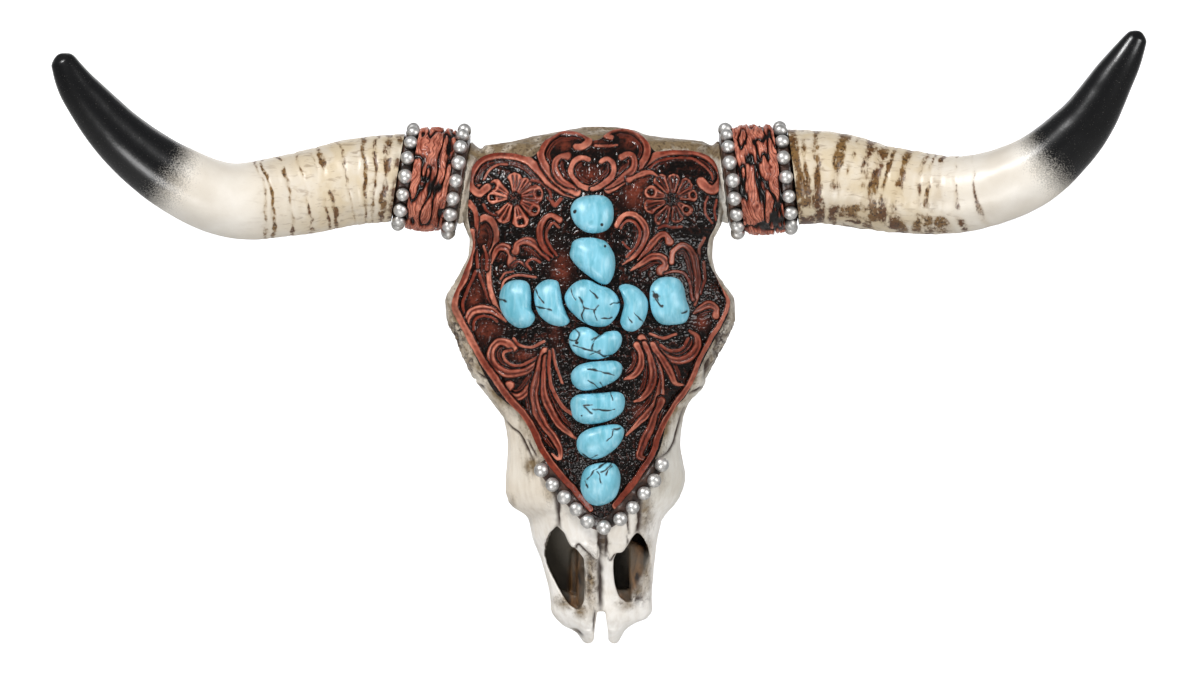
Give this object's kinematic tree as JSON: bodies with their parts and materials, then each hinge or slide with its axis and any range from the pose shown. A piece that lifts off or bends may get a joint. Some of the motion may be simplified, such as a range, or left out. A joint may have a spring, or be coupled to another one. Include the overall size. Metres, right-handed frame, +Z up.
{
  "type": "steer skull wall plaque",
  "caption": "Cast longhorn steer skull wall plaque with tooled leather look face, turquoise stone cross and beaded horn cuffs.",
  "frame": {"origin": "on the flat back, on the wall plane, level with the arms of the stone cross and on the middle line of the face", "axes": "+X towards the right horn as seen from the front, +Y into the wall, +Z up"},
  "size_m": [0.5197, 0.0789, 0.2928],
  "materials": {
    "bone": "cast resin painted as weathered bone, matt with brown wash in the hollows",
    "horn": "cast resin painted as horn, satin, with airbrushed black tips",
    "leather": "cast resin painted as tooled leather, satin, with a black wash in the ground",
    "pewter": "pewter coloured paint, satin, with a dark wash",
    "turquoise": "polished turquoise with dark matrix",
    "steel": "plated strip, satin"
  },
  "bodies": {
    "root": {"skull": "bone", "horn_left": "horn", "horn_right": "horn", "horn_wrap_left": "leather", "horn_wrap_right": "leather", "tooled_panel": "leather", "bead_band_left_inner": "pewter", "bead_band_left_outer": "pewter", "bead_band_right_inner": "pewter", "bead_band_right_outer": "pewter", "bead_trim": "pewter", "stone_shaft_1": "turquoise", "stone_shaft_2": "turquoise", "stone_shaft_3": "turquoise", "stone_shaft_4": "turquoise", "stone_shaft_5": "turquoise", "stone_shaft_6": "turquoise", "stone_shaft_7": "turquoise", "stone_cross": "turquoise", "stone_arm_1": "turquoise", "stone_arm_2": "turquoise", "stone_arm_3": "turquoise", "stone_arm_4": "turquoise", "hanger": "steel"}
  },
  "joints": []
}
